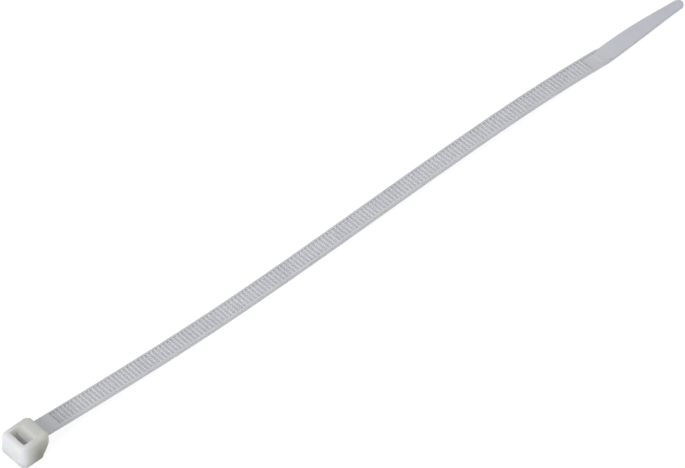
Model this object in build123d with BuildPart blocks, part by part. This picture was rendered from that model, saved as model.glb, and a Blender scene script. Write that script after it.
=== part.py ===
from build123d import *
import os
from math import cos, radians, sin, tan

# A self-locking cable tie, moulded in one shot of nylon: a head with its slot and pawl, a ladder strap
# and a tapered tail for threading.  +X runs from the head to the tail, +Z is up on the toothed side, and
# the tie lies on the plane z = 0.  The origin is on the strap's path through the slot, at the head's base.

# ---- driving dimensions, millimetres and degrees ----

# strap
STRAP_WIDTH = 4.8
STRAP_THICK = 1.08
RAIL_WIDTH = 0.46                 # smooth rail left and right of the ladder
RECESS_DEPTH = 0.44               # ladder floor below the top of the rails

# ladder
TOOTH_COUNT = 152
TOOTH_PITCH = 0.986
TOOTH_HEIGHT = 0.38               # crest above the ladder floor
TOOTH_FACE = 0.10                 # run of the steep face that the pawl bears on
TOOTH_CREST = 0.12                # flat on top of each tooth
TOOTH_BACK = 0.50                 # run of the sloping back, which the pawl rides over
NECK_LENGTH = 4.15                # plain strap between the head and the first tooth
PLAIN_END = 4.5                   # bare ladder floor between the last tooth and the tail

# how the strap lies: a shallow wave, low under its first third and again where the tail bends up
ROOT_RISE = 2.66                  # underside of the strap where it leaves the head
ROOT_SLOPE = -4.3                 # fall of the strap there
DIP_SHARE = 0.345                 # place of the low point along the strap
CREST_SHARE = 0.80                # place of the high point along the strap
CREST_RISE = 1.46                 # underside at that high point
KINK_RISE = 0.10                  # underside where the tail begins
KINK_SLOPE = -5.5                 # fall of the strap where the tail begins

# tail
TAIL_LENGTH = 23.9
TAIL_THICK = 0.80
SHOULDER_LENGTH = 11.0            # the tail keeps most of its width this far
SHOULDER_WIDTH = 4.20
TIP_WIDTH = 2.6
TAIL_EASE = 0.5                   # the tail's edges turn in this much where it begins
TIP_TAPER = 2.5                   # and this much where the round tip begins
TAIL_RISE = 0.52                  # underside of the tail at its middle
TIP_RISE = 0.25                   # underside of the tail at the tip
PANEL_ROUND = 0.8                 # corners of the raised panel where the tail begins
PANEL_STEP = 0.12                 # that panel above the ledges beside it
PANEL_LAP = 1.7                   # the panel starts this far before the bend
LEDGE_LENGTH = 4.2                # the ledges run out along the tail

# head
HEAD_HEIGHT = 5.0
HEAD_BASE_WIDTH = 8.8
HEAD_DRAFT = 7.0                  # sides and end lean in towards the top
HEAD_CORNER = 1.4                 # rounded upright corners
END_WALL = 2.45                   # plain wall of the slot to the end face, at the base
BASE_RUN = 2.5                    # plain wall of the slot to the front edge of the base
BODY_RUN = 5.75                   # plain wall of the slot to the front face, where the strap leaves
FRONT_FOOT = 2.6                  # top of the sloping front
FRONT_LEAN = 0.65                 # that edge is this far behind the front face
BROW_Z = 4.0                      # the front face is upright above this
TOP_ROUND = 0.90
BASE_ROUND = 0.25

# slot and pawl
SLOT_CLEARANCE = 0.10             # slot deeper than the strap is thick
SIDE_CLEARANCE = 0.15             # slot wider than the strap, each side
MOUTH_RUN = 3.2                   # slot along X at the top
LEAD_IN = 0.20                    # plain wall eased at the mouth
LEAD_DEPTH = 0.55
FRONT_WALL = 0.65                 # thickness of the sloping front, in front of the pawl's pocket
POCKET_RUN = 3.1                  # plain wall of the slot to the back of the pocket
POCKET_TOP = 3.3
PAWL_WIDTH = 3.5
PAWL_BODY = 0.48                  # thickness behind the pawl's teeth
PAWL_TEETH = 3
PAWL_TOOTH = 0.30                 # height of the pawl's teeth
PAWL_LEAN = 0.06                  # each tooth stands this much further into the slot than the one above
PAWL_TIP_Z = 0.90
GRIP = 0.36                       # how far the lowest tooth stands into the strap's path
HINGE_Z = 4.0
HINGE_THICK = 0.45
HINGE_RUN = 1.75                  # plain wall of the slot to the root of the pawl's hinge
MOUTH_ROUND = 1.7                 # the mouth's far wall curves in to the top of the hinge
BURIED = 1.0                      # joined shapes run this far into each other

# ---- values worked out from them ----

PLAIN_WALL = -(STRAP_THICK + SLOT_CLEARANCE) / 2
HEAD_FRONT = PLAIN_WALL + BODY_RUN
STRAP_START = HEAD_FRONT - BURIED
FIRST_TOOTH = HEAD_FRONT + NECK_LENGTH
KINK_X = FIRST_TOOTH + TOOTH_COUNT * TOOTH_PITCH + PLAIN_END
PANEL_X = KINK_X - PANEL_LAP
TIP_X = KINK_X + TAIL_LENGTH
DIP_X = HEAD_FRONT + DIP_SHARE * (KINK_X - HEAD_FRONT)
CREST_X = HEAD_FRONT + CREST_SHARE * (KINK_X - HEAD_FRONT)
LADDER_WIDTH = STRAP_WIDTH - 2 * RAIL_WIDTH
SLOT_WIDTH = STRAP_WIDTH + 2 * SIDE_CLEARANCE
START_Z = ROOT_RISE - BURIED * tan(radians(ROOT_SLOPE))
LEVEL = (1, 0)


def heading(angle):
    """Unit direction in the X-Z plane, at an angle above +X."""
    return (cos(radians(angle)), sin(radians(angle)))


def wave(rise):
    """The strap's lie from the head to the tail, raised by a height, drawn in the open line block."""
    Spline((STRAP_START, START_Z + rise), (DIP_X, rise), tangents=(heading(ROOT_SLOPE), LEVEL))
    Spline((DIP_X, rise), (CREST_X, CREST_RISE + rise), tangents=(LEVEL, LEVEL))
    kink = (KINK_X, KINK_RISE + rise)
    Spline((CREST_X, CREST_RISE + rise), kink, tangents=(LEVEL, heading(KINK_SLOPE)))


def tail_arc(rise):
    """The tail's gentle arch, raised by a height, drawn in the open line block."""
    middle = (KINK_X + TAIL_LENGTH / 2, TAIL_RISE + rise)
    ThreePointArc((KINK_X, KINK_RISE + rise), middle, (TIP_X, TIP_RISE + rise))


# ---- ladder recess: the space above the teeth, between the rails ----

with BuildLine(Plane.XZ) as lie:
    wave(0)
underside = lie.wire()


def on_strap(along, height):
    """Point of the X-Z plane at a length along the strap's underside and a height square to it."""
    place = underside.position_at(along, position_mode=PositionMode.LENGTH)
    ahead = underside.tangent_at(along, position_mode=PositionMode.LENGTH)
    return (place.X - ahead.Z * height, place.Z + ahead.X * height)


floor_height = STRAP_THICK - RECESS_DEPTH
crest_height = floor_height + TOOTH_HEIGHT
above = STRAP_THICK + BURIED
ladder_start = FIRST_TOOTH - STRAP_START

recess_outline = [on_strap(ladder_start - TOOTH_PITCH / 2, above)]
recess_outline.append(on_strap(ladder_start - TOOTH_PITCH / 2, STRAP_THICK))
for tooth in range(TOOTH_COUNT):
    foot = ladder_start + tooth * TOOTH_PITCH
    recess_outline.append(on_strap(foot, floor_height))
    recess_outline.append(on_strap(foot + TOOTH_FACE, crest_height))
    recess_outline.append(on_strap(foot + TOOTH_FACE + TOOTH_CREST, crest_height))
    recess_outline.append(on_strap(foot + TOOTH_FACE + TOOTH_CREST + TOOTH_BACK, floor_height))
recess_outline.append((KINK_X, KINK_RISE + floor_height))
recess_outline.append((KINK_X, CREST_RISE + above))

with BuildSketch(Plane.XY) as panel_plan:
    # The tail's raised panel: it starts between the rails with round corners and widens to the edge.
    with BuildLine():
        Polyline(
            (PANEL_X, 0),
            (PANEL_X, LADDER_WIDTH / 2),
            (PANEL_X + LEDGE_LENGTH, STRAP_WIDTH / 2),
            (TIP_X, STRAP_WIDTH / 2),
            (TIP_X, 0),
        )
        mirror(about=Plane.XZ)
    make_face()
    fillet(panel_plan.vertices().group_by(Axis.X)[0], radius=PANEL_ROUND)

with BuildPart() as recess:
    with BuildSketch(Plane.XZ):
        with BuildLine():
            Polyline(*recess_outline, close=True)
        make_face()
    extrude(amount=LADDER_WIDTH / 2, both=True)
    extrude(panel_plan.sketch, amount=HEAD_HEIGHT, mode=Mode.SUBTRACT)
    # Between the rails the space goes on over the panel, which is as high as the tail is thick.
    over_panel = on_strap(underside.length - PANEL_LAP - BURIED, TAIL_THICK)
    with BuildSketch(Plane.XZ):
        with BuildLine():
            Polyline(
                over_panel,
                (KINK_X, KINK_RISE + TAIL_THICK),
                (KINK_X, CREST_RISE + above),
                (over_panel[0], CREST_RISE + above),
                close=True,
            )
        make_face()
    extrude(amount=LADDER_WIDTH / 2, both=True)

with BuildPart() as ledges:
    with BuildSketch(Plane.XZ):
        with BuildLine():
            tail_arc(TAIL_THICK - PANEL_STEP)
            Polyline(
                (TIP_X, TIP_RISE + TAIL_THICK - PANEL_STEP),
                (TIP_X, HEAD_HEIGHT),
                (KINK_X, HEAD_HEIGHT),
                (KINK_X, KINK_RISE + TAIL_THICK - PANEL_STEP),
            )
        make_face()
    extrude(amount=STRAP_WIDTH, both=True)
    extrude(panel_plan.sketch, amount=HEAD_HEIGHT, mode=Mode.SUBTRACT)

# ---- head, with its slot and the pawl inside it ----

END_X = PLAIN_WALL - END_WALL
BASE_FRONT = PLAIN_WALL + BASE_RUN
FOOT_X = HEAD_FRONT - FRONT_LEAN
DRAFT_RUN = HEAD_HEIGHT * tan(radians(HEAD_DRAFT))

with BuildPart() as head:
    with BuildSketch(Plane.XY):
        with Locations(((END_X + HEAD_FRONT) / 2, 0)):
            RectangleRounded(HEAD_FRONT - END_X, HEAD_BASE_WIDTH, HEAD_CORNER)
    with BuildSketch(Plane.XY.offset(HEAD_HEIGHT)):
        with Locations(((END_X + DRAFT_RUN + HEAD_FRONT) / 2, 0)):
            RectangleRounded(
                HEAD_FRONT - END_X - DRAFT_RUN, HEAD_BASE_WIDTH - 2 * DRAFT_RUN, HEAD_CORNER
            )
    loft(ruled=True)
    fillet(head.faces().sort_by(Axis.Z)[-1].edges(), radius=TOP_ROUND)
    with BuildSketch(Plane.XZ):
        with BuildLine():
            Polyline(
                (END_X - BURIED, 0),
                (BASE_FRONT, 0),
                (FOOT_X, FRONT_FOOT),
                (HEAD_FRONT, BROW_Z),
                (HEAD_FRONT, HEAD_HEIGHT),
                (END_X - BURIED, HEAD_HEIGHT),
                close=True,
            )
        make_face()
    extrude(amount=HEAD_BASE_WIDTH, both=True, mode=Mode.INTERSECT)
    fillet(head.faces().sort_by(Axis.Z)[0].edges(), radius=BASE_ROUND)

    # The passage for the strap, with the pawl's pocket behind it.
    mouth_far = PLAIN_WALL - LEAD_IN + MOUTH_RUN
    hinge_root = PLAIN_WALL + HINGE_RUN
    pocket_far = PLAIN_WALL + POCKET_RUN
    front_angle = Vector(FOOT_X - BASE_FRONT, FRONT_FOOT).get_angle(Vector(1, 0))
    exit_far = BASE_FRONT - FRONT_WALL / sin(radians(front_angle))
    pocket_foot = (pocket_far - exit_far) * tan(radians(front_angle))
    with BuildSketch(Plane.XZ):
        with BuildLine():
            mouth_round = RadiusArc(
                (mouth_far, HEAD_HEIGHT), (hinge_root - HINGE_THICK, HINGE_Z), MOUTH_ROUND
            )
            Polyline(
                mouth_round @ 1,
                (hinge_root, POCKET_TOP),
                (pocket_far, POCKET_TOP),
                (pocket_far, pocket_foot),
                (exit_far, 0),
                (PLAIN_WALL, 0),
                (PLAIN_WALL, HEAD_HEIGHT - LEAD_DEPTH),
                (PLAIN_WALL - LEAD_IN, HEAD_HEIGHT),
                mouth_round @ 0,
            )
        make_face()
    extrude(amount=SLOT_WIDTH / 2, both=True, mode=Mode.SUBTRACT)

    # The pawl hangs from its thin hinge and leans into the passage, teeth towards the plain wall.
    tip_face = PLAIN_WALL + STRAP_THICK - GRIP
    pawl_outline = [(tip_face + PAWL_TOOTH + PAWL_BODY, PAWL_TIP_Z)]
    for tooth in range(PAWL_TEETH):
        crest_x = tip_face + tooth * PAWL_LEAN
        foot_z = PAWL_TIP_Z + tooth * TOOTH_PITCH
        pawl_outline.append((crest_x, foot_z))
        pawl_outline.append((crest_x + PAWL_TOOTH, foot_z + TOOTH_BACK))
        pawl_outline.append((crest_x + PAWL_TOOTH + PAWL_LEAN, foot_z + TOOTH_PITCH))
    pawl_outline.append((hinge_root - HINGE_THICK, HINGE_Z))
    pawl_outline.append((hinge_root + HINGE_THICK, HINGE_Z))
    pawl_outline.append((hinge_root + HINGE_THICK, POCKET_TOP))
    pawl_outline.append((hinge_root - HINGE_THICK / 2, POCKET_TOP))
    with BuildSketch(Plane.XZ):
        with BuildLine():
            Polyline(*pawl_outline, close=True)
        make_face()
    extrude(amount=PAWL_WIDTH / 2, both=True)

# ---- the whole tie ----

with BuildPart() as cable_tie:
    with BuildSketch(Plane.XZ):
        with BuildLine():
            wave(0)
            tail_arc(0)
            Line((TIP_X, TIP_RISE), (TIP_X, TIP_RISE + TAIL_THICK))
            tail_arc(TAIL_THICK)
            Line((KINK_X, KINK_RISE + TAIL_THICK), (KINK_X, KINK_RISE + STRAP_THICK))
            wave(STRAP_THICK)
            Line((STRAP_START, START_Z + STRAP_THICK), (STRAP_START, START_Z))
        make_face()
    extrude(amount=STRAP_WIDTH / 2, both=True)
    with BuildSketch(Plane.XY):
        with BuildLine():
            tip_radius = TIP_WIDTH / 2
            Polyline((STRAP_START, 0), (STRAP_START, STRAP_WIDTH / 2), (KINK_X, STRAP_WIDTH / 2))
            Spline(
                (KINK_X, STRAP_WIDTH / 2),
                (KINK_X + SHOULDER_LENGTH, SHOULDER_WIDTH / 2),
                (TIP_X - tip_radius, tip_radius),
                tangents=(heading(-TAIL_EASE), heading(-TIP_TAPER)),
            )
            RadiusArc((TIP_X - tip_radius, tip_radius), (TIP_X, 0), tip_radius)
            mirror(about=Plane.XZ)
        make_face()
    extrude(amount=2 * HEAD_HEIGHT, both=True, mode=Mode.INTERSECT)
    add(recess.part, mode=Mode.SUBTRACT)
    add(ledges.part, mode=Mode.SUBTRACT)
    add(head.part)

cable_tie.part.label = "cable_tie"

os.makedirs("parts", exist_ok=True)
export_step(cable_tie.part, "parts/cable_tie.step")

size = cable_tie.part.bounding_box().size
print("cable tie", TOOTH_COUNT, "teeth,", "size", round(size.X, 2), round(size.Y, 2), round(size.Z, 2))
print("volume", round(cable_tie.part.volume, 1), "solids", len(cable_tie.part.solids()))
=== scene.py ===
# %% [markdown]
# # A slim nylon cable tie, modelled and finished in Blender
# A cable tie is one moulding: a head with a slot and a small pawl in it, a ladder strap and a tapered
# tail.  This lesson loads the measured CAD part as a frame and models the same tie again with hand tools,
# so that its edges are soft as a moulding's are.  It then mixes the milky nylon and lights it as a small
# still life.

# %% Load the frame
import bmesh
import bpy
import math
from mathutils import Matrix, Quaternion, Vector


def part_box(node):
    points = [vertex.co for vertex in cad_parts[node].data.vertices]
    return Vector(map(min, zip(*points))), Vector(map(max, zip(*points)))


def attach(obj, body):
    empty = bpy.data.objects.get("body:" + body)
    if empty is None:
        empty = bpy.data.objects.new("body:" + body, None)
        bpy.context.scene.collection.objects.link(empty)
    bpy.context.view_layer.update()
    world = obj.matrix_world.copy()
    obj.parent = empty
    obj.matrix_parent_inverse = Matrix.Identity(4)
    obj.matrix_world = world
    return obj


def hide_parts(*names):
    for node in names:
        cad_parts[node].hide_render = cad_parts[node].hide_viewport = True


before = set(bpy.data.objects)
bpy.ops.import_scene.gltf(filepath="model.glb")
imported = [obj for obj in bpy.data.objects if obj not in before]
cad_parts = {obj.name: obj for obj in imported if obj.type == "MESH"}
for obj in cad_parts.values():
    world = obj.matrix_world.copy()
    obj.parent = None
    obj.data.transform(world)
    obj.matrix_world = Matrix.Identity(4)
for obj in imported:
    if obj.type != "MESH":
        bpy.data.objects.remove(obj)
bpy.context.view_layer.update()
MM = 0.001
low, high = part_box("cable_tie")
print("tie from", [round(v / MM, 2) for v in low], "to", [round(v / MM, 2) for v in high], "mm")

# %% [markdown]
# ## The camera
# The tie is 190 mm long and under 9 mm wide, so it is seen from a metre away through a long lens, which
# keeps both ends nearly the same size.  The camera stands behind the head's left corner, looks 45 degrees
# down at the strap's middle, and is rolled a little so that the strap runs from the lower left to the
# upper right.  A quaternion holds the direction of the look and the roll about it as two plain turns.

# %% Camera
AIM = Vector((0.08788, 0.00028, 0.0))
CAMERA_PLACE = Vector((-0.31765, -0.61408, 0.73843))
CAMERA_ROLL = -9.155
CAMERA_LENS = 253.47
SENSOR_WIDTH = 36.0

camera_data = bpy.data.cameras.new("camera")
camera_data.lens = CAMERA_LENS
camera_data.sensor_width = SENSOR_WIDTH
camera_data.clip_start = 0.1
camera_data.clip_end = 20.0
camera = bpy.data.objects.new("camera", camera_data)
bpy.context.scene.collection.objects.link(camera)
camera.rotation_mode = "QUATERNION"
camera.location = CAMERA_PLACE
level_look = (AIM - CAMERA_PLACE).to_track_quat("-Z", "Y")
camera.rotation_quaternion = level_look @ Quaternion((0, 0, 1), math.radians(CAMERA_ROLL))
bpy.context.scene.camera = camera
bpy.context.view_layer.update()
print("camera", [[round(v, 5) for v in row] for row in camera.matrix_world])

# %% [markdown]
# ## Hand tools, driven from code
# The tie is modelled in millimetres, a thousand times its size in Blender's metres, because merging,
# bevels and booleans have tolerances made for large things.  It is shrunk once, at the end.  An operator
# acts on whatever is selected, so each step starts with nothing selected and then picks faces, edges or
# vertices by their place or their direction.

# %% Helpers for modelling
NEAR = 0.004    # two places this close are the same place
FACING = 0.9    # a normal with this much of an axis points along it


def start_clean():
    """Leaves edit mode and deselects every object."""
    if bpy.context.object and bpy.context.object.mode != "OBJECT":
        bpy.ops.object.mode_set(mode="OBJECT")
    bpy.ops.object.select_all(action="DESELECT")


def block(name, corner, far_corner):
    """A box between two corners, with its place in its mesh."""
    start_clean()
    corner, far_corner = Vector(corner), Vector(far_corner)
    span = far_corner - corner
    size = (abs(span.x), abs(span.y), abs(span.z))
    bpy.ops.mesh.primitive_cube_add(size=1, location=(corner + far_corner) / 2, scale=size)
    piece = bpy.context.object
    piece.name = name
    bpy.ops.object.transform_apply(location=True, rotation=True, scale=True)
    return piece


def pick(piece, kind, test):
    """Goes into edit mode with only the vertices, edges or faces selected that pass the test."""
    bpy.context.view_layer.objects.active = piece
    bpy.ops.object.mode_set(mode="EDIT")
    bpy.ops.mesh.select_mode(type=kind)
    bpy.ops.mesh.select_all(action="DESELECT")
    mesh = bmesh.from_edit_mesh(piece.data)
    mesh.normal_update()
    items = {"VERT": mesh.verts, "EDGE": mesh.edges, "FACE": mesh.faces}[kind]
    chosen = [item for item in items if test(item)]
    for item in chosen:
        item.select_set(True)
    mesh.select_flush_mode()
    bmesh.update_edit_mesh(piece.data)
    return len(chosen)


def middle_of(item):
    """Middle of an edge or a face."""
    return sum((corner.co for corner in item.verts), Vector()) / len(item.verts)


def run_of(edge):
    """How far an edge goes along X, Y and Z."""
    span = edge.verts[1].co - edge.verts[0].co
    return Vector((abs(span.x), abs(span.y), abs(span.z)))


def extrude(offset):
    """Pulls out what is selected."""
    bpy.ops.mesh.extrude_region_move(TRANSFORM_OT_translate={"value": offset})


def apply_modifier(piece, kind, **settings):
    """Adds a modifier, sets it and applies it."""
    start_clean()
    piece.select_set(True)
    bpy.context.view_layer.objects.active = piece
    modifier = piece.modifiers.new(kind.lower(), kind)
    for name, value in settings.items():
        setattr(modifier, name, value)
    bpy.ops.object.modifier_apply(modifier=modifier.name)


def combine(piece, tool, operation):
    """Joins a tool to a piece or cuts the piece with it, and removes the tool."""
    apply_modifier(piece, "BOOLEAN", object=tool, operation=operation, solver="MANIFOLD")
    bpy.data.objects.remove(tool)


def report(piece):
    """Prints a piece's faces, its open edges and its size."""
    start_clean()
    mesh = bmesh.new()
    mesh.from_mesh(piece.data)
    open_edges = sum(not edge.is_manifold for edge in mesh.edges)
    size = [round(side, 3) for side in piece.dimensions]
    print(piece.name, len(mesh.faces), "faces,", open_edges, "open edges, size", size, "volume",
          round(mesh.calc_volume(), 1))
    mesh.free()


# %% [markdown]
# ## The sizes
# The sizes that more than one step needs come first.  They are those of a slim tie for bundles up to 45
# mm thick.  Places along X are counted from the middle of the strap's passage through the head.

# %% Sizes of the tie, in millimetres
STRAP_WIDTH = 4.8
STRAP_THICK = 1.08
RAIL_WIDTH = 0.46
RECESS_DEPTH = 0.44
TOOTH_PITCH = 0.986
TOOTH_COUNT = 152
NECK_LENGTH = 4.15
PLAIN_END = 4.5
TAIL_LENGTH = 23.9
BODY_RUN = 5.75
SLOT_CLEARANCE = 0.10
BURIED = 1.0

PLAIN_WALL = -(STRAP_THICK + SLOT_CLEARANCE) / 2
head_front = PLAIN_WALL + BODY_RUN
kink_x = head_front + NECK_LENGTH + TOOTH_COUNT * TOOTH_PITCH + PLAIN_END
tip_x = kink_x + TAIL_LENGTH
print("tail begins at", round(kink_x, 2), "and ends at", round(tip_x, 2))

# %% [markdown]
# ## How the strap lies
# A tie out of its bag is never quite straight.  It leaves the head some way up, dips to the table, rises
# in a long low crest and comes down to the tail, which turns up again.  The strap could be modelled bent,
# but teeth are far easier to place on a straight one.  So a Bezier curve in the centre plane is the lie,
# the strap is modelled straight and as long as the curve, and a Curve modifier bends it at the end.

# %% The lie of the strap
ROOT_RISE = 2.66    # underside of the strap where it leaves the head
ROOT_SLOPE = -4.3
DIP_SHARE = 0.345    # place of the low point along the strap
CREST_SHARE = 0.80    # place of the high point along the strap
CREST_RISE = 1.46
KINK_RISE = 0.10
KINK_SLOPE = -5.5
TAIL_RISE = 0.52
TIP_RISE = 0.25
LIE_STEPS = 200


def slope(degrees):
    """Unit direction in the X-Z plane."""
    return Vector((math.cos(math.radians(degrees)), 0, math.sin(math.radians(degrees))))


tail_chord = math.degrees(math.atan2(TIP_RISE - KINK_RISE, TAIL_LENGTH))
tail_sag = TAIL_RISE - (KINK_RISE + TIP_RISE) / 2
tail_turn = math.degrees(math.atan(4 * tail_sag / TAIL_LENGTH))
root_z = ROOT_RISE - BURIED * math.tan(math.radians(ROOT_SLOPE))
lie_points = [
    (Vector((head_front - BURIED, 0, root_z)), ROOT_SLOPE, ROOT_SLOPE),
    (Vector((head_front + DIP_SHARE * (kink_x - head_front), 0, 0)), 0, 0),
    (Vector((head_front + CREST_SHARE * (kink_x - head_front), 0, CREST_RISE)), 0, 0),
    (Vector((kink_x, 0, KINK_RISE)), KINK_SLOPE, tail_chord + tail_turn),
    (Vector((tip_x, 0, TIP_RISE)), tail_chord - tail_turn, tail_chord - tail_turn),
]

start_clean()
bpy.ops.curve.primitive_bezier_curve_add(location=(0, 0, 0))
lie = bpy.context.object
lie.name = "lie"
lie.data.resolution_u = LIE_STEPS
lie.data.twist_mode = "Z_UP"
knots = lie.data.splines[0].bezier_points
knots.add(len(lie_points) - len(knots))
for index, (knot, (place, arriving, leaving)) in enumerate(zip(knots, lie_points)):
    before = lie_points[max(index - 1, 0)][0]
    after = lie_points[min(index + 1, len(lie_points) - 1)][0]
    knot.handle_left_type = knot.handle_right_type = "FREE"
    knot.co = place
    knot.handle_left = place - slope(arriving) * (place - before).length / 3
    knot.handle_right = place + slope(leaving) * (after - place).length / 3
lie_length = lie.data.splines[0].calc_length()
tail_run = (lie_points[4][0] - lie_points[3][0]).length + 8 * tail_sag ** 2 / (3 * TAIL_LENGTH)
print("the lie is", round(lie_length, 2), "mm long, its tail", round(tail_run, 2), "mm")

# %% [markdown]
# ## One pitch of the ladder
# The strap is a flat band with a shallow channel along its top, and in the channel stand small ratchet
# teeth.  Every pitch is alike, so one pitch is modelled and an Array repeats it.  It starts as a box: the
# ends are opened, the top is inset to leave two rails, the middle is pulled down to the channel's floor,
# and the floor is cut across and lifted into a tooth whose steep face looks back at the head.

# %% One pitch
TOOTH_HEIGHT = 0.38
TOOTH_FACE = 0.10
TOOTH_CREST = 0.12
TOOTH_BACK = 0.50

FLOOR_Z = STRAP_THICK - RECESS_DEPTH
LADDER_WIDTH = STRAP_WIDTH - 2 * RAIL_WIDTH
ladder_start = BURIED + NECK_LENGTH
half_width = STRAP_WIDTH / 2

far_corner = (ladder_start + TOOTH_PITCH, half_width, STRAP_THICK)
strap = block("strap", (ladder_start, -half_width, 0), far_corner)
pick(strap, "FACE", lambda face: abs(face.normal.x) > FACING)
bpy.ops.mesh.delete(type="FACE")
pick(strap, "FACE", lambda face: face.normal.z > FACING)
bpy.ops.mesh.inset(thickness=RAIL_WIDTH, use_boundary=False)
extrude((0, 0, -RECESS_DEPTH))
pick(strap, "FACE", lambda face: abs(face.normal.x) > FACING)
bpy.ops.mesh.delete(type="FACE")

# %% [markdown]
# The tooth is shaped like a ratchet's: a steep face towards the head, which the pawl bears on, a narrow
# flat crest, and a long slope towards the tail, which rides over the pawl.  Three cuts across the
# channel's floor mark its corners, and lifting the crest's vertices raises both flanks at once.

# %% The tooth on its floor
crest_start = ladder_start + TOOTH_FACE
crest_end = crest_start + TOOTH_CREST
for place in (crest_start, crest_end, crest_end + TOOTH_BACK):
    pick(strap, "FACE", lambda face: face.normal.z > FACING and middle_of(face).z < STRAP_THICK - NEAR)
    bpy.ops.mesh.bisect(plane_co=(place, 0, 0), plane_no=(1, 0, 0))


def on_crest(vertex):
    """Whether a vertex is a corner of the tooth's crest, before it is lifted."""
    return abs(vertex.co.z - FLOOR_Z) < NEAR and crest_start - NEAR < vertex.co.x < crest_end + NEAR


pick(strap, "VERT", on_crest)
bpy.ops.transform.translate(value=(0, 0, TOOTH_HEIGHT))
start_clean()
print("one pitch:", len(strap.data.polygons), "faces")

# %% [markdown]
# A moulding has no knife-sharp edges.  The crest of the tooth, the rails and the underside each get a
# small bevel, which is what catches a thin line of light along a real tie.  One or two segments are
# enough on edges this fine, and they keep the pitch to a few dozen faces, because it is repeated a
# hundred and fifty times.

# %% Soft edges on the pitch
CREST_ROUND = 0.03
RAIL_ROUND = 0.16
INNER_ROUND = 0.05
UNDER_ROUND = 0.16

crest_z = FLOOR_Z + TOOTH_HEIGHT


def crest_edge(edge):
    """Whether an edge crosses the channel along the tooth's crest."""
    return run_of(edge).y > 1 and crest_z - NEAR < middle_of(edge).z < STRAP_THICK - NEAR


def whole_pitch(edge):
    """Whether an edge runs along the strap for the whole pitch."""
    return run_of(edge).x > TOOTH_PITCH - NEAR


def rail_outside(edge):
    """Whether an edge is the outer edge of a rail's top."""
    on_top = middle_of(edge).z > STRAP_THICK - NEAR
    return whole_pitch(edge) and on_top and abs(middle_of(edge).y) > half_width - NEAR


def rail_inside(edge):
    """Whether an edge is the edge of a rail's top at the channel."""
    on_top = middle_of(edge).z > STRAP_THICK - NEAR
    return whole_pitch(edge) and on_top and abs(middle_of(edge).y) < LADDER_WIDTH / 2 + NEAR


def underside_edge(edge):
    """Whether an edge is one of the two long edges of the underside."""
    return whole_pitch(edge) and middle_of(edge).z < NEAR


pick(strap, "EDGE", crest_edge)
bpy.ops.mesh.bevel(offset=CREST_ROUND, segments=1, affect="EDGES")
pick(strap, "EDGE", rail_outside)
bpy.ops.mesh.bevel(offset=RAIL_ROUND, segments=2, affect="EDGES")
pick(strap, "EDGE", rail_inside)
bpy.ops.mesh.bevel(offset=INNER_ROUND, segments=1, affect="EDGES")
pick(strap, "EDGE", underside_edge)
bpy.ops.mesh.bevel(offset=UNDER_ROUND, segments=2, affect="EDGES")
start_clean()
print("one pitch with soft edges:", len(strap.data.polygons), "faces")

# %% [markdown]
# The pitch has open ends, so an Array that merges touching vertices makes one skin of all its copies.
# Copies placed one by one in a loop would need the same merge and take longer.

# %% The whole ladder
apply_modifier(
    strap, "ARRAY", count=TOOTH_COUNT, use_relative_offset=False, use_constant_offset=True,
    constant_offset_displace=(TOOTH_PITCH, 0, 0), use_merge_vertices=True, merge_threshold=NEAR
)
ladder_end = ladder_start + TOOTH_COUNT * TOOTH_PITCH
report(strap)

# %% [markdown]
# ## The neck
# Next to the head the strap is a plain band, full and stiff, so that it does not crack where it bends
# round a bundle.  The ladder's open end is pulled on towards the head, the channel's floor ramps up and
# stops at a low wall, and the band then runs on into the head, where the union will bury its end.

# %% Neck
def open_end(place):
    """Test for the open edges at a place along the strap."""
    return lambda edge: edge.is_boundary and abs(middle_of(edge).x - place) < NEAR


def in_channel(place):
    """Test for the edges of the channel's outline at a place along the strap."""
    widest = LADDER_WIDTH / 2 + INNER_ROUND + NEAR
    return lambda edge: (
        open_end(place)(edge)
        and all(abs(corner.co.y) < widest and corner.co.z > FLOOR_Z - NEAR for corner in edge.verts)
    )


channel_start = ladder_start - TOOTH_PITCH / 2
ramp_rise = RECESS_DEPTH - 2 * INNER_ROUND


def ramp_top(vertex):
    """Whether a vertex is a corner of the channel's floor where the channel starts."""
    on_floor = abs(vertex.co.z - FLOOR_Z) < NEAR and abs(vertex.co.y) < LADDER_WIDTH / 2 + NEAR
    return on_floor and abs(vertex.co.x - channel_start) < NEAR


pick(strap, "EDGE", open_end(ladder_start))
extrude((channel_start - ladder_start, 0, 0))
pick(strap, "VERT", ramp_top)
bpy.ops.transform.translate(value=(0, 0, ramp_rise))
pick(strap, "EDGE", in_channel(channel_start))
bpy.ops.mesh.edge_face_add()
pick(strap, "EDGE", open_end(channel_start))
extrude((-channel_start, 0, 0))
pick(strap, "EDGE", open_end(0))
bpy.ops.mesh.edge_face_add()
report(strap)

# %% [markdown]
# ## The bare channel
# After the last tooth the channel runs on empty to where the tail begins, so the tie is easy to start in
# its slot.  The ladder's other open end is pulled on in the same way.  The channel ends at a step as high
# as the tail is thick, and the rails run a little further, past the step and up to the bend.

# %% Bare channel and the step at its end
TAIL_THICK = 0.80
PANEL_LAP = 1.7
PANEL_ROUND = 0.8
CORNER_STEPS = 6

kink = lie_length - tail_run
panel_start = kink - PANEL_LAP
pick(strap, "EDGE", open_end(ladder_end))
extrude((panel_start - ladder_end, 0, 0))
pick(strap, "FACE", lambda face: middle_of(face).x > ladder_end and abs(face.normal.y) > FACING)
bpy.ops.mesh.bisect(plane_co=(0, 0, TAIL_THICK), plane_no=(0, 0, 1))
below_panel = in_channel(panel_start)
pick(strap, "EDGE", lambda edge: below_panel(edge) and middle_of(edge).z < TAIL_THICK)
bpy.ops.mesh.edge_face_add()
pick(strap, "EDGE", open_end(panel_start))
extrude((PANEL_LAP, 0, 0))
report(strap)

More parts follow.
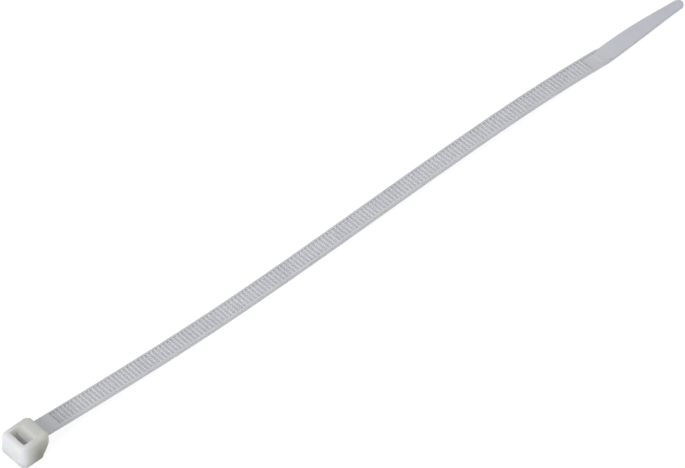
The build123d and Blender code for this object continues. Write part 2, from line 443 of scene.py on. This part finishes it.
# %% [markdown]
# The step up to the tail has round corners.  Its face is cut into strips, and the strips near the rails
# are slid back along a quarter circle.

# %% Round corners on the step
corner_start = LADDER_WIDTH / 2 - PANEL_ROUND


def step_face(face):
    """Whether a face is part of the step up to the tail."""
    return face.normal.x < -FACING and abs(middle_of(face).x - panel_start) < NEAR


for step in range(CORNER_STEPS):
    turn = math.radians(90) * step / CORNER_STEPS
    for side in (-1, 1):
        pick(strap, "FACE", step_face)
        cut = side * (corner_start + PANEL_ROUND * math.sin(turn))
        bpy.ops.mesh.bisect(plane_co=(0, cut, 0), plane_no=(0, 1, 0))


def on_step(vertex):
    """Whether a vertex is part of the step's face."""
    inside = abs(vertex.co.y) < LADDER_WIDTH / 2 + NEAR and FLOOR_Z - NEAR < vertex.co.z < TAIL_THICK + NEAR
    return inside and abs(vertex.co.x - panel_start) < NEAR


print("corners of the step:", pick(strap, "VERT", on_step))
mesh = bmesh.from_edit_mesh(strap.data)
for vertex in mesh.verts:
    if on_step(vertex) and abs(vertex.co.y) > corner_start:
        reach = min(1, (abs(vertex.co.y) - corner_start) / PANEL_ROUND)
        vertex.co.x += PANEL_ROUND * (1 - math.sqrt(1 - reach * reach))
bmesh.update_edit_mesh(strap.data)
pick(strap, "EDGE", open_end(kink))
bpy.ops.mesh.edge_face_add()
report(strap)

# %% [markdown]
# ## The tail
# The tail is the thin plain tongue that is threaded through the head.  It keeps most of its width for the
# fingers and then narrows to a round tip.  The lower part of the strap's end face is pulled out to the
# tip.

# %% Pull out the tail
TIP_WIDTH = 2.6
TIP_LEAN = 0.05    # the tip leans, so it reaches this much less far along the lie


def end_face(face):
    """Whether a face closes the strap's end at the bend."""
    return face.normal.x > FACING and middle_of(face).x > kink - NEAR


pick(strap, "FACE", end_face)
bpy.ops.mesh.bisect(plane_co=(0, 0, TAIL_THICK), plane_no=(0, 0, 1))
pick(strap, "FACE", lambda face: end_face(face) and middle_of(face).z < TAIL_THICK)
tip = kink + tail_run - TIP_LEAN
extrude((tip - kink, 0, 0))
report(strap)

# %% [markdown]
# The tail's side is one smooth line: a cubic that leaves the strap and reaches the tip at set slopes,
# with a gentle lift that takes it through the shoulder's width.  A quarter circle closes it at the tip.

# %% The line of the tail's side
SHOULDER_LENGTH = 11.0
SHOULDER_WIDTH = 4.20
TAIL_EASE = 0.5    # degrees that the side turns in where the tail begins
TIP_TAPER = 2.5    # and where the round tip begins

tip_radius = TIP_WIDTH / 2
taper_end = TAIL_LENGTH - tip_radius
start_slope = -math.tan(math.radians(TAIL_EASE)) * taper_end
end_slope = -math.tan(math.radians(TIP_TAPER)) * taper_end
drop = tip_radius - half_width
shoulder = SHOULDER_LENGTH / taper_end


def cubic_side(share):
    """Half width on the plain cubic, at a share of the way from the strap to the tip's round."""
    square = 3 * drop - 2 * start_slope - end_slope
    cube = start_slope + end_slope - 2 * drop
    return half_width + start_slope * share + square * share ** 2 + cube * share ** 3


def tail_half(place):
    """Half the tail's width at a place along it: the lifted cubic, then the round tip."""
    along = place - kink
    if along > taper_end:
        return math.sqrt(max(0, tip_radius ** 2 - (along - taper_end) ** 2))
    share = along / taper_end
    miss = SHOULDER_WIDTH / 2 - cubic_side(shoulder)
    lift = (share * (1 - share)) ** 2 / (shoulder * (1 - shoulder)) ** 2
    return cubic_side(share) + miss * lift


print("half widths:", [round(tail_half(kink + place), 2) for place in (0, SHOULDER_LENGTH, taper_end)])

# %% [markdown]
# The tongue is cut across at stations along it, closer together at the round tip, and each ring of
# vertices is then narrowed to the line.

# %% Narrow the tail
TAIL_STEPS = 14
TIP_STEPS = 7
TIP_FLAT = 0.12

stations = [kink + taper_end * step / TAIL_STEPS for step in range(1, TAIL_STEPS + 1)]
for step in range(1, TIP_STEPS):
    stations.append(tip - tip_radius * (1 - math.sin(math.radians(90) * step / TIP_STEPS)))
for place in stations:
    pick(strap, "FACE", lambda face: middle_of(face).x > kink + NEAR)
    bpy.ops.mesh.bisect(plane_co=(place, 0, 0), plane_no=(1, 0, 0))
for place in stations + [tip]:
    pick(strap, "VERT", lambda vertex: abs(vertex.co.x - place) < NEAR)
    narrowing = max(TIP_FLAT, tail_half(place)) / half_width
    bpy.ops.transform.resize(value=(1, narrowing, 1), center_override=(place, 0, 0))
report(strap)

# %% [markdown]
# The rim of the tail's top is rounded, so that it does not scrape in the slot.  A bevel of three segments
# does it, on the edges that turn sharply from the top to the sides.

# %% Tail edges
TAIL_ROUND = 0.16
RIM_TURN = math.radians(60)


def tail_rim(edge):
    """Whether an edge is part of the rim of the tail's top."""
    flat = all(abs(corner.co.z - TAIL_THICK) < NEAR for corner in edge.verts)
    return flat and middle_of(edge).x > kink + NEAR and edge.calc_face_angle(0) > RIM_TURN


print("edges of the tail's rim:", pick(strap, "EDGE", tail_rim))
bpy.ops.mesh.bevel(offset=TAIL_ROUND, segments=3, affect="EDGES")
report(strap)

# %% [markdown]
# Where the tail begins, the mould leaves a low raised panel between two ledges, which are the rails
# fading out.  Each ledge is cut with a wedge: a box whose inner side is slid so that it runs out at the
# tail's edge.

# %% The ledges beside the panel
PANEL_STEP = 0.12
LEDGE_LENGTH = 4.2
WEDGE_INSIDE = 2.0
WEDGE_OUTSIDE = 3.0

ledge_end = kink + LEDGE_LENGTH - PANEL_LAP
panel_half = LADDER_WIDTH / 2 + RAIL_WIDTH * PANEL_LAP / LEDGE_LENGTH
for side in (-1, 1):
    low_corner = (kink, side * WEDGE_INSIDE, TAIL_THICK - PANEL_STEP)
    wedge = block("wedge", low_corner, (ledge_end, side * WEDGE_OUTSIDE, STRAP_THICK))
    pick(wedge, "VERT", lambda vertex: abs(vertex.co.y) < half_width and vertex.co.x < kink + NEAR)
    bpy.ops.transform.translate(value=(0, side * (panel_half - WEDGE_INSIDE), 0))
    pick(wedge, "VERT", lambda vertex: abs(vertex.co.y) < half_width and vertex.co.x > ledge_end - NEAR)
    bpy.ops.transform.translate(value=(0, side * (half_width - WEDGE_INSIDE), 0))
    combine(strap, wedge, "DIFFERENCE")
report(strap)

# %% [markdown]
# ## The head
# The head is a thick box with everything rounded: the upright corners, the rim of its top and, less, its
# base.  Its front is cut away below the strap in two slopes.  A box takes its draft first, then its
# corners, then the rim, and two bisections take off the front.

# %% Head block
UPRIGHT_STEPS = 8
RIM_STEPS = 7
HEAD_HEIGHT = 5.0
HEAD_BASE_WIDTH = 8.8
HEAD_DRAFT = 7.0    # sides and end lean in by these degrees
HEAD_CORNER = 1.4    # rounded upright corners
END_WALL = 2.45    # plain wall of the slot to the end face
BASE_RUN = 2.5    # plain wall of the slot to the front edge of the base
FRONT_FOOT = 2.6    # top of the first slope
FRONT_LEAN = 0.65    # that edge is this far behind the front face
BROW_Z = 4.0    # the front face is upright above this
TOP_ROUND = 0.90
BASE_ROUND = 0.25

end_x = PLAIN_WALL - END_WALL
draft_run = HEAD_HEIGHT * math.tan(math.radians(HEAD_DRAFT))
head = block("head", (end_x, -HEAD_BASE_WIDTH / 2, 0), (head_front, HEAD_BASE_WIDTH / 2, HEAD_HEIGHT))
pick(head, "VERT", lambda vertex: vertex.co.z > HEAD_HEIGHT - NEAR)
bpy.ops.transform.resize(value=(1, 1 - 2 * draft_run / HEAD_BASE_WIDTH, 1))
pick(head, "VERT", lambda vertex: vertex.co.z > HEAD_HEIGHT - NEAR and vertex.co.x < 0)
bpy.ops.transform.translate(value=(draft_run, 0, 0))
pick(head, "EDGE", lambda edge: run_of(edge).z > HEAD_HEIGHT - NEAR)
bpy.ops.mesh.bevel(offset=HEAD_CORNER, segments=UPRIGHT_STEPS, affect="EDGES")
pick(head, "EDGE", lambda edge: all(corner.co.z > HEAD_HEIGHT - NEAR for corner in edge.verts))
bpy.ops.mesh.bevel(offset=TOP_ROUND, segments=RIM_STEPS, affect="EDGES")
report(head)

# %% [markdown]
# Below the strap the front of the head slopes back to a short base, which lets the tie sit close to what
# it binds.  The whole block is bisected twice, each time along one slope, and the cut is filled.

# %% Sloping front
base_front = PLAIN_WALL + BASE_RUN
foot_x = head_front - FRONT_LEAN
front_steps = [(base_front, 0), (foot_x, FRONT_FOOT), (head_front, BROW_Z)]
for (x, z), (far_x, far_z) in zip(front_steps, front_steps[1:]):
    pick(head, "FACE", lambda face: True)
    bpy.ops.mesh.bisect(
        plane_co=(x, 0, z), plane_no=(far_z - z, 0, x - far_x), use_fill=True, clear_outer=True
    )
report(head)

# %% [markdown]
# The base and the edges of the slopes get the smallest round of the head.  Their edges are found by both
# ends lying on one of those faces.

# %% Soft base and front edges
SLIGHT_TURN = math.radians(8)


def at_front(vertex):
    """Whether a vertex lies on one of the two slopes of the front."""
    for (x, z), (far_x, far_z) in zip(front_steps, front_steps[1:]):
        across = Vector((far_z - z, 0, x - far_x)).normalized()
        if abs(across.dot(vertex.co - Vector((x, 0, z)))) < NEAR and z - NEAR < vertex.co.z < far_z + NEAR:
            return True
    return False


def soft_edge(edge):
    """Whether an edge rims the base or one of the slopes."""
    on_base = all(corner.co.z < NEAR for corner in edge.verts)
    on_front = all(at_front(corner) for corner in edge.verts)
    return on_base or (on_front and edge.calc_face_angle(0) > SLIGHT_TURN)


pick(head, "EDGE", soft_edge)
bpy.ops.mesh.bevel(offset=BASE_ROUND, segments=3, affect="EDGES")
report(head)

# %% [markdown]
# ## The slot and the pawl
# The strap's tip is pushed down through a slot in the head, and a small pawl inside grips its teeth.  The
# slot and the pawl are both prisms across the head, so each outline is drawn as by hand: a single vertex
# is pulled from corner to corner, the loop is filled and the face is pulled out to its width.

# %% A prism from an outline
def prism(name, outline, width):
    """A solid whose X-Z outline is drawn by pulling one vertex from corner to corner."""
    start_clean()
    bpy.ops.mesh.primitive_plane_add(size=1, location=(0, 0, 0))
    piece = bpy.context.object
    piece.name = name
    bpy.ops.object.mode_set(mode="EDIT")
    bpy.ops.mesh.select_mode(type="VERT")
    bpy.ops.mesh.select_all(action="SELECT")
    bpy.ops.mesh.merge(type="CENTER")
    bpy.ops.transform.translate(value=(outline[0][0], -width / 2, outline[0][1]))
    for (x, z), (next_x, next_z) in zip(outline, outline[1:]):
        bpy.ops.mesh.extrude_vertices_move(TRANSFORM_OT_translate={"value": (next_x - x, 0, next_z - z)})
    bpy.ops.mesh.select_all(action="SELECT")
    bpy.ops.mesh.edge_face_add()
    extrude((0, width, 0))
    bpy.ops.mesh.select_all(action="SELECT")
    bpy.ops.mesh.normals_make_consistent(inside=False)
    report(piece)
    return piece


def arc(start, end, radius, steps):
    """Points of a round stretch from one corner to the next, bulging to the left of the way there."""
    start, end = Vector(start), Vector(end)
    chord = end - start
    left = Vector((-chord.y, chord.x)).normalized()
    centre = (start + end) / 2 - left * math.sqrt(radius ** 2 - (chord.length / 2) ** 2)
    first = math.atan2(start.y - centre.y, start.x - centre.x)
    last = math.atan2(end.y - centre.y, end.x - centre.x)
    turns = [first + (last - first) * step / steps for step in range(steps + 1)]
    return [(centre.x + radius * math.cos(turn), centre.y + radius * math.sin(turn)) for turn in turns]


# %% [markdown]
# The slot has one plain wall.  Opposite, its mouth opens as a dish that guides the strap's tip in over
# the pawl's hinge, and below the hinge a pocket gives the pawl room to bend.  One prism cuts all of it.

# %% Cut the slot
MOUTH_STEPS = 8
SIDE_CLEARANCE = 0.15
MOUTH_RUN = 3.2    # the mouth along X at the top
LEAD_IN = 0.20    # the plain wall is eased by this at the mouth
LEAD_DEPTH = 0.55    # down to this depth
FRONT_WALL = 0.65    # wall left in front of the pocket
POCKET_RUN = 3.1    # plain wall to the back of the pocket
POCKET_TOP = 3.3
HINGE_Z = 4.0
HINGE_THICK = 0.45
HINGE_RUN = 1.75    # plain wall to the middle of the pawl's hinge
MOUTH_ROUND = 1.7
CLEAR = 0.5

slot_width = STRAP_WIDTH + 2 * SIDE_CLEARANCE
mouth_far = PLAIN_WALL - LEAD_IN + MOUTH_RUN
hinge_root = PLAIN_WALL + HINGE_RUN
pocket_far = PLAIN_WALL + POCKET_RUN
front_lean = math.atan2(FRONT_FOOT, foot_x - base_front)
exit_far = base_front - FRONT_WALL / math.sin(front_lean)
pocket_foot = (pocket_far - exit_far) * math.tan(front_lean)
mouth = arc((mouth_far, HEAD_HEIGHT), (hinge_root - HINGE_THICK, HINGE_Z), MOUTH_ROUND, MOUTH_STEPS)
slot_outline = [
    (mouth_far, HEAD_HEIGHT + CLEAR), *mouth, (hinge_root, POCKET_TOP), (pocket_far, POCKET_TOP),
    (pocket_far, pocket_foot), (exit_far, 0), (exit_far - CLEAR / math.tan(front_lean), -CLEAR),
    (PLAIN_WALL, -CLEAR), (PLAIN_WALL, HEAD_HEIGHT - LEAD_DEPTH), (PLAIN_WALL - LEAD_IN, HEAD_HEIGHT),
    (PLAIN_WALL - LEAD_IN, HEAD_HEIGHT + CLEAR),
]
combine(head, prism("slot", slot_outline, slot_width), "DIFFERENCE")
report(head)

# %% [markdown]
# Where a moulding's faces meet, the edges are softer than a bevel makes them, and the slot's mouth swells
# into the top.  A voxel Remesh turns the block into an even skin of tiny squares, and a Smooth modifier
# then relaxes it: flat faces stay where they are, and edges and corners melt into each other.

# %% Melt the edges of the head
VOXEL = 0.10
SMOOTHING = 24

apply_modifier(head, "REMESH", mode="VOXEL", voxel_size=VOXEL, use_smooth_shade=True)
apply_modifier(head, "SMOOTH", factor=0.5, iterations=SMOOTHING)
report(head)

# %% [markdown]
# The pawl is a thin tongue with three teeth that hangs from its hinge and leans into the strap's path,
# its teeth towards the plain wall.  It is drawn in one outline, tooth by tooth, and its sharp edges are
# eased.

# %% The pawl
PAWL_WIDTH = 3.5
PAWL_BODY = 0.48    # thickness behind the pawl's teeth
PAWL_TEETH = 3
PAWL_TOOTH = 0.30
PAWL_LEAN = 0.06    # each tooth stands further into the slot than the one above
PAWL_TIP_Z = 0.90
PAWL_ROUND = 0.05
PAWL_TURN = math.radians(50)
GRIP = 0.36    # how far the lowest tooth stands into the strap's path

tip_face = PLAIN_WALL + STRAP_THICK - GRIP
pawl_outline = [(tip_face + PAWL_TOOTH + PAWL_BODY, PAWL_TIP_Z)]
for tooth in range(PAWL_TEETH):
    crest_x = tip_face + tooth * PAWL_LEAN
    foot_z = PAWL_TIP_Z + tooth * TOOTH_PITCH
    pawl_outline.append((crest_x, foot_z))
    pawl_outline.append((crest_x + PAWL_TOOTH, foot_z + TOOTH_BACK))
    pawl_outline.append((crest_x + PAWL_TOOTH + PAWL_LEAN, foot_z + TOOTH_PITCH))
pawl_outline.append((hinge_root - HINGE_THICK, HINGE_Z))
pawl_outline.append((hinge_root + HINGE_THICK, HINGE_Z))
pawl_outline.append((hinge_root + HINGE_THICK, POCKET_TOP))
pawl_outline.append((hinge_root - HINGE_THICK / 2, POCKET_TOP))
pawl = prism("pawl", pawl_outline, PAWL_WIDTH)


def sharp_below_hinge(edge):
    """Whether an edge is sharp and clear of the hinge, which the head buries."""
    return edge.calc_face_angle(0) > PAWL_TURN and middle_of(edge).z < POCKET_TOP - NEAR


pick(pawl, "EDGE", sharp_below_hinge)
bpy.ops.mesh.bevel(offset=PAWL_ROUND, segments=2, affect="EDGES")
report(pawl)

# %% [markdown]
# ## One moulding
# The strap is bent along its lie.  Head, pawl and strap overlap where they grow out of each other, and
# the union makes them one closed skin, as the real tie is.

# %% Bend and join
apply_modifier(strap, "CURVE", object=lie, deform_axis="POS_X")
bpy.data.objects.remove(lie)
report(strap)
combine(head, pawl, "UNION")
report(head)
combine(head, strap, "UNION")
tie = head
tie.name = "tie_moulding"
report(tie)

# %% [markdown]
# The tie is shrunk from millimetres to its size in metres, and its shading is smoothed across the soft
# edges while the flat faces stay flat.  It then takes the place of the measured part, on the same body.

# %% Shrink and smooth
SMOOTH_TURN = math.radians(40)
FACE_WEIGHT = 80

tie.scale = (MM, MM, MM)
bpy.ops.object.select_all(action="DESELECT")
tie.select_set(True)
bpy.context.view_layer.objects.active = tie
bpy.ops.object.transform_apply(location=True, rotation=True, scale=True)
bpy.ops.object.shade_smooth_by_angle(angle=SMOOTH_TURN)
apply_modifier(tie, "WEIGHTED_NORMAL", keep_sharp=True, weight=FACE_WEIGHT)
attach(tie, "root")
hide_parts("cable_tie")
print("tie in metres", [round(side, 5) for side in tie.dimensions])

# %% [markdown]
# ## Shader maths written as Python
# A material's masks are sums and products of sockets.  Wrapping a socket in a small class with overloaded
# operators lets that maths be written as plain expressions, and each operator adds one Math node.

# %% The socket class
class Wire:
    """One output socket of a material, with Python's arithmetic."""

    def __init__(self, tree, socket):
        self.tree = tree
        self.socket = socket

    def node(self, kind, settings=None, inputs=None, output=0):
        """Adds a node of a type, sets its settings, then fills its sockets with values or links."""
        added = self.tree.nodes.new(kind)
        for name, value in (settings or {}).items():
            setattr(added, name, value)
        for name, value in (inputs or {}).items():
            if isinstance(value, Wire):
                self.tree.links.new(value.socket, added.inputs[name])
            else:
                added.inputs[name].default_value = value
        return Wire(self.tree, added.outputs[output])

    def maths(self, operation, first, second):
        """One Math node on two wires or numbers."""
        return self.node("ShaderNodeMath", {"operation": operation}, {0: first, 1: second})

    def __add__(self, other):
        return self.maths("ADD", self, other)

    def __radd__(self, other):
        return self.maths("ADD", other, self)

    def __sub__(self, other):
        return self.maths("SUBTRACT", self, other)

    def __rsub__(self, other):
        return self.maths("SUBTRACT", other, self)

    def __mul__(self, other):
        return self.maths("MULTIPLY", self, other)

    def __rmul__(self, other):
        return self.maths("MULTIPLY", other, self)

    def mix(self, first, second):
        """A colour that goes from the first to the second as this wire goes from 0 to 1."""
        inputs = {"Factor": self, 6: first, 7: second}
        return self.node("ShaderNodeMix", {"data_type": "RGBA"}, inputs, output=2)

    def between(self, start, end):
        """A smooth step: 0 where this wire is below the start, 1 where it is above the end."""
        inputs = {"Value": self, "From Min": start, "From Max": end}
        return self.node("ShaderNodeMapRange", {"interpolation_type": "SMOOTHSTEP"}, inputs)


def new_material(name):
    """A material with only its output node, and a wire to add nodes with."""
    material = bpy.data.materials.new(name)
    material.use_nodes = True
    tree = material.node_tree
    for node in [node for node in tree.nodes if node.type != "OUTPUT_MATERIAL"]:
        tree.nodes.remove(node)
    return material, Wire(tree, None)


def set_surface(start, shader):
    """Links a shader to its material's output."""
    output = next(node for node in start.tree.nodes if node.type == "OUTPUT_MATERIAL")
    start.tree.links.new(shader.socket, output.inputs["Surface"])
    print("material with", len(start.tree.nodes), "nodes")


# %% [markdown]
# ## Natural nylon
# Undyed nylon is milky: light goes into it, scatters and comes out a millimetre or two away, so thin
# edges are soft and a hole glows inside a little.  Light and shade are also painted into the colour: the
# thick head is creamy at its lit end and goes to a painted olive shade at its front and bottom, the slot's
# dish is painted in shade and its deep part painted bright, and the strap has painted shade next to the
# head.  The thin strap is a cooler grey, and the tail is faintly blue.  The colours come first, each named
# for the place that it belongs to.

# %% Colours of the nylon
END_COLOUR = (0.92, 0.945, 0.94, 1)
# painted shade: the head darkens from END_COLOUR at its lit end to this colour at its front and bottom
FRONT_SHADE_COLOUR = (0.30, 0.285, 0.215, 1)
# painted shade in the dish of the slot's mouth
DISH_SHADE_COLOUR = (0.76, 0.76, 0.70, 1)
# painted light: the deep part of the slot is painted bright, as if it glowed
DEEP_LIGHT_COLOUR = (1.0, 0.99, 0.95, 1)
# painted shade on the strap next to the head, fading out along the neck
NECK_SHADE_COLOUR = (0.62, 0.63, 0.655, 1)
STRAP_COLOUR = (0.765, 0.775, 0.81, 1)
TAIL_COLOUR = (0.71, 0.725, 0.79, 1)
CLOUD_COLOUR = (0.64, 0.655, 0.70, 1)

nylon, start = new_material("natural_nylon")
place = start.node("ShaderNodeTexCoord", output="Object")
along = start.node("ShaderNodeSeparateXYZ", {}, {0: place}, output="X")
across = start.node("ShaderNodeSeparateXYZ", {}, {0: place}, output="Y")
up = start.node("ShaderNodeSeparateXYZ", {}, {0: place}, output="Z")
print("colours of the nylon are set for", nylon.name)

# %% [markdown]
# Where each colour goes is a mask from 0 to 1, a smooth step between two places on the tie.  The object's
# own coordinates give those places, so the colours stay on the nylon wherever it is seen from.

# %% Where the colours go
# the head's painted shade fades in along X between these places, and the top gets this much less of it
SHADE_FADE = (-2.8, 2.2)
TOP_SHARE = 0.64
# where the slot's painted light and shade go; DEEP_FADE puts the painted light below and the painted shade
# above
SLOT_NEAR_FADE = (-1.2, -0.6)
SLOT_FAR_FADE = (2.3, 2.8)
SLOT_SIDE_FADE = (2.5, 2.9)
SLOT_RIM_FADE = (4.6, 4.95)
DEEP_FADE = (3.1, 4.0)
STRAP_FADE = (head_front - 0.6, head_front + 0.8)
NECK_FADE = (head_front + 2, head_front + NECK_LENGTH + 8)
TAIL_FADE = (kink_x - 4, kink_x + 5)


def fade(wire, places):
    """A smooth step between two places in millimetres."""
    return wire.between(places[0] * MM, places[1] * MM)


off_centre = start.node("ShaderNodeMath", {"operation": "ABSOLUTE"}, {0: across})
# painted shade: darker towards the head's front and towards its bottom
front_shade = fade(along, SHADE_FADE) * (1 - up * (TOP_SHARE / (HEAD_HEIGHT * MM)))
in_mouth = fade(along, SLOT_NEAR_FADE) * (1 - fade(along, SLOT_FAR_FADE))
in_slot = in_mouth * (1 - fade(off_centre, SLOT_SIDE_FADE)) * (1 - fade(up, SLOT_RIM_FADE))
in_strap = fade(along, STRAP_FADE)
past_neck = fade(along, NECK_FADE)
in_tail = fade(along, TAIL_FADE)
print("strap's colour starts at", round(head_front, 2), "mm, the tail's at", round(kink_x, 2), "mm")

# %% [markdown]
# The nylon cools unevenly behind the gate of the mould, which leaves faint clouds a few millimetres
# across.  A noise makes them, and the colours are then laid over each other through their masks.

# %% Mix the colours
CLOUD_SCALE = 260
CLOUD_EDGE = (0.42, 0.72)
CLOUD_SHARE = 0.35

cloud_look = {"Vector": place, "Scale": CLOUD_SCALE, "Detail": 3, "Roughness": 0.55}
clouds = start.node("ShaderNodeTexNoise", {}, cloud_look)
cloud_mask = clouds.between(*CLOUD_EDGE) * CLOUD_SHARE
# painted shade on the strap next to the head, fading to the strap's own grey
band = past_neck.mix(NECK_SHADE_COLOUR, STRAP_COLOUR)
band = in_tail.mix(band, TAIL_COLOUR)
band = cloud_mask.mix(band, CLOUD_COLOUR)
# painted light deep in the slot and painted shade in its dish
inner = fade(up, DEEP_FADE).mix(DEEP_LIGHT_COLOUR, DISH_SHADE_COLOUR)
# the head's painted shade and the slot's painted light and shade go onto the head here
head_colour = in_slot.mix(front_shade.mix(END_COLOUR, FRONT_SHADE_COLOUR), inner)
colour = in_strap.mix(head_colour, band)
print("clouds about", round(1 / (CLOUD_SCALE * MM), 1), "mm across")

# %% [markdown]
# The skin of the moulding is almost smooth, with a soft sheen.  Two noises, one finer than a tooth and
# one about as large, lift it by a few hundredths of a millimetre, and the clouds make it a little less
# glossy.

# %% Skin of the nylon
FINE_SCALE = 5200
BROAD_SCALE = 700
FINE_SHARE = 0.35
SKIN_LIFT = 0.03
SKIN_STRENGTH = 0.2
SHEEN = 0.42
CLOUD_SHEEN = 0.12

skin = {"Vector": place, "Detail": 2, "Roughness": 0.5}
fine = start.node("ShaderNodeTexNoise", {}, {**skin, "Scale": FINE_SCALE})
broad = start.node("ShaderNodeTexNoise", {}, {**skin, "Scale": BROAD_SCALE})
height = fine * FINE_SHARE + broad * (1 - FINE_SHARE)
lift = {"Strength": SKIN_STRENGTH, "Distance": SKIN_LIFT * MM, "Height": height}
bump = start.node("ShaderNodeBump", {}, lift)
rough = clouds * CLOUD_SHEEN + SHEEN
print("skin lifted by", SKIN_LIFT, "mm")

# %% [markdown]
# Milkiness is subsurface scattering, and its reach is the same all over one shader.  Light travels far in
# the thick head and hardly at all in the thin strap, so there are two shaders, which meet inside the
# neck's root.

# %% Shaders of the head and the strap
NYLON_IOR = 1.5
HEAD_REACH = 4.0
HEAD_MILK = (1.0, 0.93, 0.75)    # red light travels furthest, blue light least
STRAP_REACH = 0.3
STRAP_MILK = 0.1


def milky(weight, reach, colours):
    """The nylon's shader with its own share, reach in millimetres and colour of scattered light."""
    return start.node("ShaderNodeBsdfPrincipled", {}, {
        "Base Color": colour, "Roughness": rough, "Normal": bump, "IOR": NYLON_IOR,
        "Subsurface Weight": weight, "Subsurface Radius": colours, "Subsurface Scale": reach * MM
    })


thick = milky(1.0, HEAD_REACH, HEAD_MILK)
thin = milky(STRAP_MILK, STRAP_REACH, (1.0, 1.0, 1.0))
set_surface(start, start.node("ShaderNodeMixShader", {}, {0: in_strap, 1: thick, 2: thin}))
tie.data.materials.clear()
tie.data.materials.append(nylon)

# %% [markdown]
# ## The floor
# The tie lies on white paper, far larger than the view.  A white sheet lit brightly enough to look white
# would also throw too much light on the nylon.  So for the light it is ordinary paper, and only for the
# rays that the camera, a reflection or glass sends out it glows almost to white and keeps a trace of the
# tie's shadow.

# %% White paper
FLOOR_SIZE = 3.0
PAPER_COLOUR = (0.85, 0.85, 0.85, 1)
SHADOW_COLOUR = (0.25, 0.25, 0.25, 1)
PAPER_GLOW = 0.88

bpy.ops.object.select_all(action="DESELECT")
bpy.ops.mesh.primitive_plane_add(size=FLOOR_SIZE, location=(AIM.x, 0, 0))
floor = bpy.context.object
floor.name = "floor"
paper, start = new_material("white_paper")
seen = start.node("ShaderNodeLightPath", output="Is Camera Ray")
seen_glossy = start.node("ShaderNodeLightPath", output="Is Glossy Ray")
seen_through = start.node("ShaderNodeLightPath", output="Is Transmission Ray")
plain = start.node("ShaderNodeBsdfDiffuse", {}, {"Color": PAPER_COLOUR})
shaded = start.node("ShaderNodeBsdfDiffuse", {}, {"Color": SHADOW_COLOUR})
glow = start.node("ShaderNodeEmission", {}, {"Color": (1, 1, 1, 1), "Strength": PAPER_GLOW})
white = start.node("ShaderNodeAddShader", {}, {0: shaded, 1: glow})
in_view = seen + seen_glossy + seen_through
set_surface(start, start.node("ShaderNodeMixShader", {}, {0: in_view, 1: plain, 2: white}))
floor.data.materials.append(paper)

# %% [markdown]
# ## The light
# The tie is lit like a small thing on a product table: an even white surround, a low softbox at the
# head's end that draws a bright line on the face of every tooth, a large one overhead, and a weak one
# from the front.  The lamps are square and wide, so that their shadows are soft.

# %% Surround
SURROUND = 0.35

world = bpy.data.worlds.new("studio")
bpy.context.scene.world = world
world.use_nodes = True
background = next(node for node in world.node_tree.nodes if node.type == "BACKGROUND")
background.inputs["Color"].default_value = (1, 1, 1, 1)
background.inputs["Strength"].default_value = SURROUND
print("surround at", SURROUND)


# %% Softboxes
def softbox(name, place, size, power):
    """A square lamp that looks at the tie's middle."""
    data = bpy.data.lights.new(name, "AREA")
    data.shape = "SQUARE"
    data.size = size
    data.energy = power
    lamp = bpy.data.objects.new(name, data)
    bpy.context.scene.collection.objects.link(lamp)
    lamp.location = place
    lamp.rotation_euler = (AIM - Vector(place)).to_track_quat("-Z", "Y").to_euler()
    print("softbox", name, "of", power, "W")


softbox("key", (-1.40, -0.10, 0.60), 0.7, 10.5)
softbox("top", (0.1, 0.2, 1.6), 1.1, 6.2)
softbox("fill", (0.3, -1.6, 0.5), 1.0, 3.0)

bpy.context.scene.view_settings.view_transform = "Standard"
